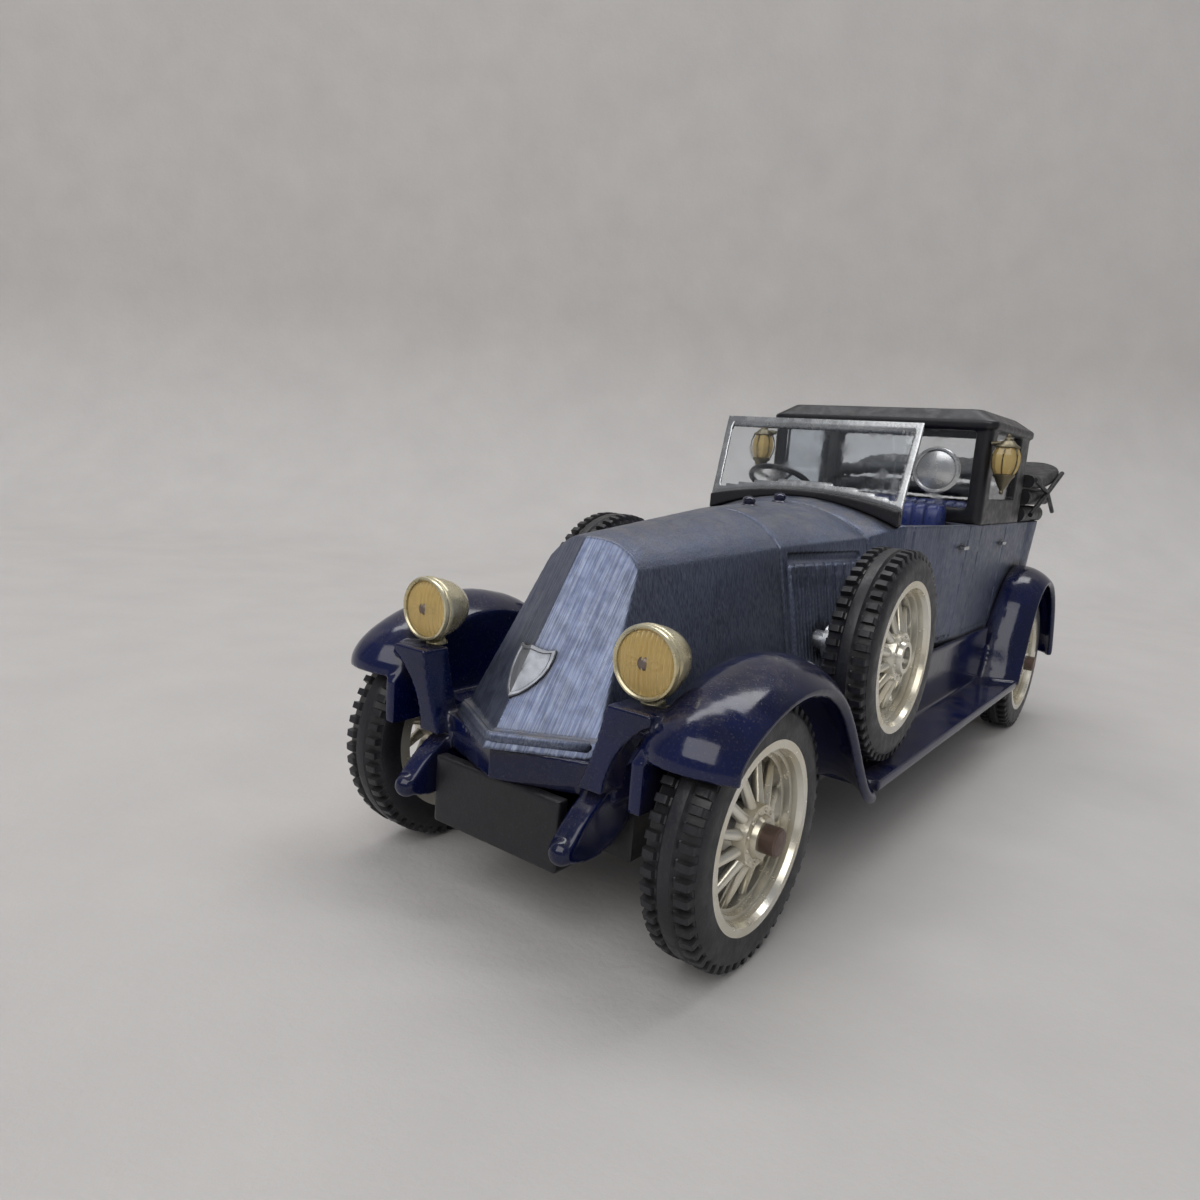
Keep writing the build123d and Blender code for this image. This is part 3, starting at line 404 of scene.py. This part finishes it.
def tyre(name, node, rim):
    """Rubber tyre on a rim's axis, with square blocks on both shoulders and a smooth centre band."""
    middle_x = middle(node).x
    side = math.copysign(1, middle_x)
    face_x = abs(middle_x) + TREAD_HALF
    y, z = middle(rim).yz
    rings = []
    for tooth in range(TEETH):
        for share, gap in TOOTH:
            angle = 2 * math.pi * (tooth + share) / TEETH
            across, upwards = math.cos(angle), math.sin(angle)
            ring = []
            for inwards, radius, drop in TREAD:
                reach = radius - drop * gap
                ring.append((side * (face_x - inwards), y + reach * across, z + reach * upwards))
            rings.append(ring)
    verts, faces = skin(rings, around=False, along=True)
    count = len(TREAD)
    # the bead that grips the rim closes the tyre
    for index in range(len(rings)):
        here, after = index * count, (index + 1) % len(rings) * count
        faces.append((here, after, after + count - 1, here + count - 1))
    return piece(name, node, verts, faces, sharp=32)


for side, hand in SIDES:
    for post in ("front", "rear", "spare"):
        tyre(f"{post}_tread_{hand}", f"{post}_tyre_{hand}", f"{post}_rim_{hand}")

# ------------------------------------------------------------------ bonnet louvres
LOUVRES, LOUVRE_STEPS = 24, 8
LOUVRE_FRONT_Y, LOUVRE_RUN = -25.4, 12.6
LOUVRE_LOW_Z, LOUVRE_HIGH_Z = 16.8, 28.15
LOUVRE_PROUD = 0.4
SILL_Z = 15.0
# both ends of the louvre panel: y, half width and height of its shoulder, half width of its sill
PANEL_FRONT = (-26.55, 7.0, 29.7, 9.8)
PANEL_REAR = (-11.45, 10.0, 30.5, 12.0)


def flank_x(y, z):
    """Half width of the bonnet side at one point of the louvre panel."""
    share = (y - PANEL_FRONT[0]) / (PANEL_REAR[0] - PANEL_FRONT[0])
    shoulder_x, shoulder_z, sill_x = (a + share * (b - a) for a, b in zip(PANEL_FRONT[1:], PANEL_REAR[1:]))
    return sill_x + (shoulder_x - sill_x) * (z - SILL_Z) / (shoulder_z - SILL_Z)


def louvre(side, y):
    """One upright louvre, with both ends sunk into the panel."""
    rings = []
    for k in range(LOUVRE_STEPS + 1):
        z = LOUVRE_LOW_Z + (LOUVRE_HIGH_Z - LOUVRE_LOW_Z) * k / LOUVRE_STEPS
        proud = LOUVRE_PROUD if 0 < k < LOUVRE_STEPS else 0.0
        section = ((-0.2, -0.2), (proud * 0.7, -0.12), (proud, 0.0), (proud * 0.7, 0.12), (-0.2, 0.2))
        rings.append([(side * (flank_x(y, z) + out), y + along, z) for out, along in section])
    return skin(rings)


LOUVRE_YS = [LOUVRE_FRONT_Y + index * LOUVRE_RUN / (LOUVRES - 1) for index in range(LOUVRES)]
louvres = joined(*(louvre(side, y) for side, _ in SIDES for y in LOUVRE_YS))
piece("bonnet_louvres", "body_shell", *louvres, replace=False, sharp=50)


# ------------------------------------------------------------------ nose
def on_facet(x, z, proud):
    """Point on the folded nose, standing proud of its sloping facet."""
    side = 1 if x > 0 else -1 if x < 0 else 0
    y = NOSE_FOOT_Y + (NOSE_ACROSS * abs(x) + NOSE_UP * (z - NOSE_FOOT_Z)) / NOSE_AHEAD
    length = math.sqrt((NOSE_ACROSS * side) ** 2 + NOSE_AHEAD ** 2 + NOSE_UP ** 2)
    return (x + proud * NOSE_ACROSS * side / length, y - proud * NOSE_AHEAD / length,
            z + proud * NOSE_UP / length)


# half of the shield's outline, from its point up, as (x, height)
HALF_SHIELD = [
    (0, -2.35), (0.5, -2.0), (0.95, -1.5), (1.3, -0.95), (1.6, -0.3), (1.75, 0.4), (1.78, 1.2),
    (1.7, 1.9), (1.1, 1.8), (0.55, 1.92), (0, 2.15),
]
# from the back, over the raised rim, to the sunk middle: share of the outline, height off the facet
SHIELD_STEPS = ((1.0, 0.03), (1.0, 0.22), (0.96, 0.3), (0.86, 0.3), (0.82, 0.2), (0.5, 0.2), (0.05, 0.22))
SHIELD_Z, SHIELD_SQUASH = 20.4, 0.84
shield = HALF_SHIELD + [(-x, v) for x, v in reversed(HALF_SHIELD[1:-1])]
rings = [[on_facet(x * share, SHIELD_Z + v * share * SHIELD_SQUASH, proud) for x, v in shield]
         for share, proud in SHIELD_STEPS]
piece("blank_shield", "nose_shield", *skin(rings), finish="badge", sharp=35)

# rolled lip round the foot of the nose, half as thick at its two ends
LIP_Z, LIP_ROOT, LIP_PROUD, LIP_HALF = 15.55, 0.12, 0.55, 0.62
LIP_END_X = 6.75
LIP_XS = (-LIP_END_X, -6.5, -3.3, -0.25, 0, 0.25, 3.3, 6.5, LIP_END_X)
lip = []
for x in LIP_XS:
    thick = 0.5 if abs(x) == LIP_END_X else 1
    ring = []
    for k in range(12):
        angle = 2 * math.pi * k / 12
        out_x, out_y, out_z = on_facet(x, LIP_Z, LIP_ROOT + LIP_PROUD * thick * math.cos(angle))
        ring.append((out_x, out_y, out_z + LIP_HALF * thick * math.sin(angle)))
    lip.append(ring)
piece("nose_lip", "body_shell", *skin(lip), replace=False, sharp=60)

# ------------------------------------------------------------------ lamps
# turned profiles, as (radius, distance along the axis)
HEADLAMP_BOWL = [
    (0, 4.6), (0.9, 4.35), (1.7, 3.6), (2.2, 2.75), (2.5, 1.9), (2.6, 1.2), (2.62, 1.0), (2.74, 0.92),
    (2.78, 0.7), (2.74, 0.5), (2.68, 0.44), (2.74, 0.36), (2.76, 0.15), (2.68, -0.02), (2.52, -0.06),
    (2.4, 0.05), (2.36, 0.5), (1.9, 1.7), (1.0, 2.5), (0, 2.8),
]
HEADLAMP_STEM = [(0.0, -3.1), (0.95, -3.1), (0.9, -2.9), (0.7, -2.7), (0.7, -2.2), (0.0, -2.2)]
HEADLAMP_EYE = [(0, -0.12), (0.25, -0.08), (0.42, 0.0), (0.5, 0.1), (0.5, 0.3), (0, 0.3)]
SPOTLIGHT_BOWL = [
    (0, 2.4), (1.0, 2.2), (1.8, 1.65), (2.25, 0.95), (2.4, 0.2), (2.38, 0.0), (2.5, -0.1),
    (2.52, -0.4), (2.4, -0.6), (2.2, -0.62), (2.05, -0.5), (2.0, -0.2), (1.5, 0.4), (0, 0.8),
]
STEM_BACK, GLASS_BACK, EYE_AHEAD = 1.6, 0.25, 0.24
LENS_RINGS, LENS_SIDES = 34, 160


def lens(origin, radius, dome, ripple, pitch, thickness):
    """Domed glass seen from -Y, with upright flutes."""
    x0, y0, z0 = origin
    rings = []
    for r in range(LENS_RINGS):
        share = math.sin(math.pi / 2 * r / (LENS_RINGS - 1))
        ring = []
        for k in range(LENS_SIDES):
            angle = 2 * math.pi * k / LENS_SIDES
            x, z = radius * share * math.cos(angle), radius * share * math.sin(angle)
            wave = ripple * math.cos(2 * math.pi * x / pitch) * (1 - share ** 8)
            ring.append((x0 + x, y0 - dome * (1 - share * share) - wave, z0 + z))
        rings.append(ring)
    rings.append([(x, y0 + thickness, z) for x, y, z in rings[-1]])
    return skin(rings)


LAMP_X, LAMP_FACE_Y, LAMP_Z = 11.36, -55.3, 23.38
for side, hand in SIDES:
    x = side * LAMP_X
    bowl = turned(HEADLAMP_BOWL, (x, LAMP_FACE_Y, LAMP_Z), (0, 1, 0), 64)
    stem = turned(HEADLAMP_STEM, (x, LAMP_FACE_Y + STEM_BACK, LAMP_Z), (0, 0, 1), 24)
    piece(f"headlamp_bowl_{hand}", f"headlamp_shell_{hand}", *joined(bowl, stem), sharp=40)
    glass = lens((x, LAMP_FACE_Y + GLASS_BACK, LAMP_Z), 2.38, 0.45, 0.12, 0.42, 0.25)
    piece(f"headlamp_glass_{hand}", f"headlamp_lens_{hand}", *glass, sharp=80)
    eye = turned(HEADLAMP_EYE, (x, LAMP_FACE_Y - EYE_AHEAD, LAMP_Z), (0, 1, 0), 32)
    piece(f"headlamp_eye_{hand}", f"headlamp_shell_{hand}", *eye, replace=False, finish="axle_steel")

SPOT_X, SPOT_Y, SPOT_Z = 14.9, -6.4, 38.4
bowl = turned(SPOTLIGHT_BOWL, (SPOT_X, SPOT_Y, SPOT_Z), (0, 1, 0), 56)
arm = tube([(SPOT_X - 2.4, SPOT_Y + 0.5, SPOT_Z), (SPOT_X - 1.6, SPOT_Y + 0.5, SPOT_Z)], 0.42, 16)
piece("spotlight_bowl", "spotlight_shell", *joined(bowl, arm))
piece("spotlight_glass", "spotlight_lens", *lens((SPOT_X, SPOT_Y - 0.45, SPOT_Z), 2.06, 0.3, 0.0, 1, 0.3))

# the coach lantern, as (radius, height above the ground)
COACH_X, COACH_Y, COACH_ARM_Z = 17.0, 14.6, 42.4
COACH_SIDES = 6
COACH_CROWN = [
    (0, 41.95), (1.4, 41.95), (1.5, 42.05), (1.42, 42.2), (1.0, 42.45), (0.8, 42.75), (0.55, 42.85),
    (0.5, 43.1), (0.28, 43.25), (0.3, 43.5), (0.16, 43.68), (0, 43.7),
]
COACH_GLASS = [
    (0.3, 38.65), (1.22, 38.65), (1.6, 39.4), (1.74, 40.3), (1.68, 41.1), (1.45, 41.7), (1.3, 42.0),
    (0.3, 42.0),
]
COACH_FOOT = [
    (0, 36.1), (0.2, 36.15), (0.28, 36.4), (0.2, 36.6), (0.4, 36.9), (0.75, 37.5), (1.0, 38.1),
    (1.3, 38.4), (1.34, 38.6), (1.2, 38.68), (0, 38.68),
]
for side, hand in SIDES:
    at = (side * COACH_X, COACH_Y, 0)
    bars = []
    for k in range(COACH_SIDES):
        angle = 2 * math.pi / COACH_SIDES * (k + 0.5)
        across, along = math.cos(angle), math.sin(angle)
        bars.append(tube([(at[0] + r * across, at[1] + r * along, z) for r, z in COACH_GLASS[1:-1]], 0.09, 6))
    arm = [(15.05, COACH_ARM_Z), (15.9, COACH_ARM_Z + 0.1), (16.8, COACH_ARM_Z)]
    bracket = tube([(side * x, COACH_Y, z) for x, z in arm], 0.3, 12)
    crown = turned(COACH_CROWN, at, (0, 0, 1), 32)
    foot = turned(COACH_FOOT, at, (0, 0, 1), 32)
    metal = joined(crown, foot, bracket, *bars)
    piece(f"coach_lantern_{hand}", f"coach_lamp_{hand}", *metal, finish="lantern_metal")
    glass = turned(COACH_GLASS, at, (0, 0, 1), COACH_SIDES)
    piece(f"coach_glass_{hand}", f"coach_lamp_lens_{hand}", *glass, sharp=20)

# ------------------------------------------------------------------ caps
KNOB = [
    (0, -0.5), (0.95, -0.5), (0.95, 0.25), (0.8, 0.4), (0.62, 0.5), (0.7, 0.75), (0.68, 1.0), (0.5, 1.18),
    (0.2, 1.28), (0, 1.3),
]
for name, y, z in (("radiator", -20.5, 32.9), ("filler", -13.2, 33.3)):
    piece(f"{name}_knob", f"{name}_cap", *turned(KNOB, (0, y, z), (0, 0, 1), 32), finish="fender_paint")

# ------------------------------------------------------------------ seats
SEAT_STEP, PLEAT_STEP = 0.6, 0.16
PLEAT_PITCH, PLEAT_DEPTH, END_ROUND = 1.55, 0.28, 0.5
# side outlines, as (y, z) points from the front of the foot
FRONT_BENCH = [
    (2.0, 16.0), (1.8, 24.0), (2.6, 25.6), (8.4, 25.2), (9.2, 26.2), (9.6, 33.4), (10.4, 34.4),
    (12.2, 34.2), (12.6, 33.0), (12.6, 16.0),
]
REAR_BENCH = [
    (34.0, 16.0), (33.8, 24.0), (34.6, 25.6), (43.6, 25.2), (44.4, 26.2), (45.0, 33.2), (46.0, 34.2),
    (48.4, 34.0), (49.0, 32.8), (49.0, 16.0),
]


def rounded(outline):
    """Closed outline cut into short steps, with its corners smoothed."""
    dense = []
    for (y0, z0), (y1, z1) in zip(outline, outline[1:] + outline[:1]):
        steps = max(1, int(math.hypot(y1 - y0, z1 - z0) / SEAT_STEP))
        dense += [(y0 + (y1 - y0) * k / steps, z0 + (z1 - z0) * k / steps) for k in range(steps)]
    for _ in range(3):
        dense = [((a[0] + 2 * b[0] + c[0]) / 4, (a[1] + 2 * b[1] + c[1]) / 4)
                 for a, b, c in zip(dense[-1:] + dense[:-1], dense, dense[1:] + dense[:1])]
    return dense


def pleated(name, node, half, outline):
    """Bench with upright pleats, from its half width and its side outline."""
    dense = rounded(outline)
    area = sum(a[0] * b[1] - b[0] * a[1] for a, b in zip(dense, dense[1:] + dense[:1]))
    turn = 1 if area > 0 else -1
    normals = []
    for a, c in zip(dense[-1:] + dense[:-1], dense[1:] + dense[:1]):
        run = math.hypot(c[0] - a[0], c[1] - a[1])
        normals.append(((c[1] - a[1]) / run, -(c[0] - a[0]) / run))
    rings = []
    steps = int(2 * half / PLEAT_STEP)
    for k in range(steps + 1):
        x = -half + 2 * half * k / steps
        crease = 1 - abs(math.cos(math.pi * (x + PLEAT_PITCH / 2) / PLEAT_PITCH))
        inset = turn * (PLEAT_DEPTH * crease ** 3 + (END_ROUND if k in (0, steps) else 0))
        rings.append([(x, y - ny * inset, z - nz * inset) for (y, z), (ny, nz) in zip(dense, normals)])
    return piece(name, node, *skin(rings), sharp=70)


pleated("front_bench", "front_seat", 11.4, FRONT_BENCH)
pleated("rear_bench", "rear_seat", 11.0, REAR_BENCH)

# ------------------------------------------------------------------ folded hood
HOOD_FRONT_Y = 37.5
HOOD_CORNER, HOOD_WIDTH = 5, 2.9
HOOD_SEAT_Y, HOOD_INNER_Y = 48.6, 50.0
SIDE_STEPS, CORNER_STEPS, BACK_STEPS = 12, 8, 8


def fold_lines(rear, half):
    """Outer and inner edge of a fold in plan, from the left front round the back to the right."""
    outer, inner = [], []
    for k in range(SIDE_STEPS + 1):
        y = HOOD_FRONT_Y + (rear - HOOD_CORNER - HOOD_FRONT_Y) * k / SIDE_STEPS
        outer.append((half, y))
        inner.append((half - HOOD_WIDTH, min(y, HOOD_SEAT_Y)))
    for k in range(1, CORNER_STEPS + 1):
        share = k / CORNER_STEPS
        angle = math.pi / 2 * k / CORNER_STEPS
        outer.append((half - HOOD_CORNER + HOOD_CORNER * math.cos(angle),
                      rear - HOOD_CORNER + HOOD_CORNER * math.sin(angle)))
        inner.append((half - HOOD_WIDTH - 2.2 * k / CORNER_STEPS, HOOD_SEAT_Y + 1.4 * share))
    for k in range(1, BACK_STEPS + 1):
        outer.append(((half - HOOD_CORNER) * (1 - k / BACK_STEPS), rear))
        inner.append(((half - HOOD_WIDTH - 2.2) * (1 - k / BACK_STEPS), HOOD_INNER_Y))
    outer += [(-x, y) for x, y in reversed(outer[:-1])]
    inner += [(-x, y) for x, y in reversed(inner[:-1])]
    return outer, inner


def fold(low, high, rear, half, wave, lift=0.0):
    """One fold of the lowered hood, which waves a little and lifts towards the back."""
    outer, inner = fold_lines(rear, half)
    rings = []
    for k, (o, i) in enumerate(zip(outer, inner)):
        span = Vector((i[0] - o[0], i[1] - o[1]))
        step = span.normalized()
        width = span.length
        sag = wave * math.sin(6.3 * k / len(outer) * 7) * 0.5
        # the section: distance in from the outer edge, share of the height
        section = ((0.55, 0.02), (0.16, 0.18), (0.0, 0.45), (0.1, 0.72), (0.45, 0.93), (1.0, 0.99),
                   (width * 0.6, 0.97), (width - 0.4, 0.9), (width, 0.6), (width, 0.25),
                   (width - 0.5, 0.03), (width * 0.5, 0.0))
        ring = []
        for distance, level in section:
            y = o[1] + step.y * distance
            rise = lift * max(0.0, (y - 46) / 13.6) ** 1.4
            ring.append((o[0] + step.x * distance, y, low + (high - low) * level + sag * level + rise))
        rings.append(ring)
    return skin(rings)


irons = []
for side, hand in SIDES:
    knee = (side * 16.55, 47.0, 36.6)
    irons.append(tube([(side * 16.3, 38.0, 33.2), knee, (side * 16.5, 56.8, 39.9)], 0.36, 10))
    irons.append(tube([(side * 16.3, 38.0, 38.4), knee, (side * 16.4, 54.0, 33.6)], 0.32, 10))
hood = joined(fold(32.05, 34.3, 55.6, 15.6, 0.06), fold(34.6, 36.9, 57.2, 16.0, 0.1, 0.4),
              fold(37.15, 39.1, 59.9, 16.3, 0.14, 2.6), *irons)
piece("hood_folds", "folded_hood", *hood, sharp=60)

# ------------------------------------------------------------------ steering wheel
COLUMN_FOOT, WHEEL_MIDDLE = Vector((-7.5, -4.4, 23.2)), Vector((-7.5, 2.2, 35.6))
WHEEL_RADIUS, WHEEL_SIDES, RIM_RADIUS, RIM_SIDES = 4, 48, 0.36, 12
ARM_RADII, ARM_DISH = (0.3, 1.5, 2.8, 3.9), 0.3
BOSS = [(0, -0.7), (0.75, -0.6), (0.8, 0), (0.55, 0.3), (0, 0.4)]
column = WHEEL_MIDDLE - COLUMN_FOOT
turn = column.to_track_quat("Z", "Y").to_matrix()


def on_wheel(radius, angle, height=0):
    """Point in the plane of the steering wheel, or that far above it."""
    return WHEEL_MIDDLE + turn @ Vector((radius * math.cos(angle), radius * math.sin(angle), height))


rings = []
for k in range(WHEEL_SIDES):
    point = on_wheel(WHEEL_RADIUS, 2 * math.pi * k / WHEEL_SIDES)
    out = (point - WHEEL_MIDDLE).normalized()
    up = column.normalized()
    turns = [2 * math.pi * j / RIM_SIDES for j in range(RIM_SIDES)]
    rings.append([tuple(point + RIM_RADIUS * (out * math.cos(b) + up * math.sin(b))) for b in turns])
arms = []
for k in range(4):
    angle = math.pi / 2 * (k + 0.5)
    dished = [tuple(on_wheel(r, angle, -ARM_DISH * (1 - r / WHEEL_RADIUS))) for r in ARM_RADII]
    arms.append(tube(dished, 0.2, 8))
boss = turned(BOSS, tuple(WHEEL_MIDDLE), tuple(column), 24)
piece("steering_ring", "steering_wheel", *joined(skin(rings, along=True), boss, *arms))

# ------------------------------------------------------------------ floor, light and camera
# the sweep stands square to the view, behind the car; its sizes are in metres
SWEEP_FRONT, SWEEP_TURN, SWEEP_RADIUS, SWEEP_TOP = -1.4, 0.16, 0.09, 1.6
SWEEP_ACROSS = (-2.2, -0.7, 0.7, 2.2)
SWEEP_AXIS = Vector((-0.6, 0.8, 0)).normalized()
paper = Finish("floor_paper")
paper.set(Base_Color=paper.mix(paper.noise(60, 6), tone(206, 203, 200), tone(190, 187, 185)))
paper.set(Roughness=0.85)
paper.bump(paper.noise(500, 8, roughness=0.7), 0.12)
profile = [(SWEEP_FRONT, 0.0), (SWEEP_TURN, 0.0)]
for k in range(1, 11):
    angle = math.pi / 2 * k / 10
    forth, rise = SWEEP_RADIUS * math.sin(angle), SWEEP_RADIUS - SWEEP_RADIUS * math.cos(angle)
    profile.append((SWEEP_TURN + forth, rise))
profile += [(SWEEP_TURN + SWEEP_RADIUS, SWEEP_TOP)]
across = Vector((SWEEP_AXIS.y, -SWEEP_AXIS.x, 0))
rings = [[tuple(SWEEP_AXIS * distance + across * w + Vector((0, 0, height))) for w in SWEEP_ACROSS]
         for distance, height in profile]
verts, faces = skin(rings, around=False, caps=False)
mesh = bpy.data.meshes.new("sweep")
mesh.from_pydata(verts, [], faces)
mesh.shade_smooth()
mesh.materials.append(paper.material)
sweep = bpy.data.objects.new("sweep", mesh)
bpy.context.scene.collection.objects.link(sweep)


def area_light(name, location, target, size, power, colour):
    """Soft rectangular light, in metres and watts."""
    data = bpy.data.lights.new(name, "AREA")
    data.shape = "RECTANGLE"
    data.size, data.size_y = size
    data.energy = power
    data.color = colour
    obj = bpy.data.objects.new(name, data)
    obj.location = location
    obj.rotation_mode = "QUATERNION"
    obj.rotation_quaternion = (Vector(target) - Vector(location)).to_track_quat("-Z", "Y")
    bpy.context.scene.collection.objects.link(obj)


area_light("key", (0.16, -0.78, 0.78), (0, 0, 0.02), (1.1, 0.8), 6.4, (1.0, 0.99, 0.98))
area_light("overhead", (-0.2, 0.34, 0.62), (0, 0, 0), (0.9, 0.7), 9.5, (0.97, 0.98, 1.0))
world = bpy.data.worlds.new("studio")
world.use_nodes = True
background = world.node_tree.nodes["Background"]
background.inputs["Color"].default_value = (0.78, 0.8, 0.84, 1)
background.inputs["Strength"].default_value = 0.3
bpy.context.scene.world = world
bpy.context.scene.view_settings.view_transform = "Standard"

# place and turn of the camera, in metres and radians, and its lens in millimetres
EYE = Vector((0.043383, -0.103642, 0.03741))
YAW, PITCH, ROLL = 0.643, -0.168, 0.075
FOCAL_LENGTH, SENSOR_WIDTH = 25.746, 36
forward = Vector((-math.sin(YAW) * math.cos(PITCH), math.cos(YAW) * math.cos(PITCH), math.sin(PITCH)))
level = forward.cross(Vector((0, 0, 1))).normalized()
upright = level.cross(forward)
right = level * math.cos(ROLL) + upright * math.sin(ROLL)
up = -level * math.sin(ROLL) + upright * math.cos(ROLL)
data = bpy.data.cameras.new("camera")
data.sensor_width = SENSOR_WIDTH
data.lens = FOCAL_LENGTH
data.clip_start = 0.005
camera = bpy.data.objects.new("camera", data)
pose = Matrix((right, up, -forward)).transposed().to_4x4()
pose.translation = EYE
camera.matrix_world = pose
bpy.context.scene.collection.objects.link(camera)
bpy.context.scene.camera = camera
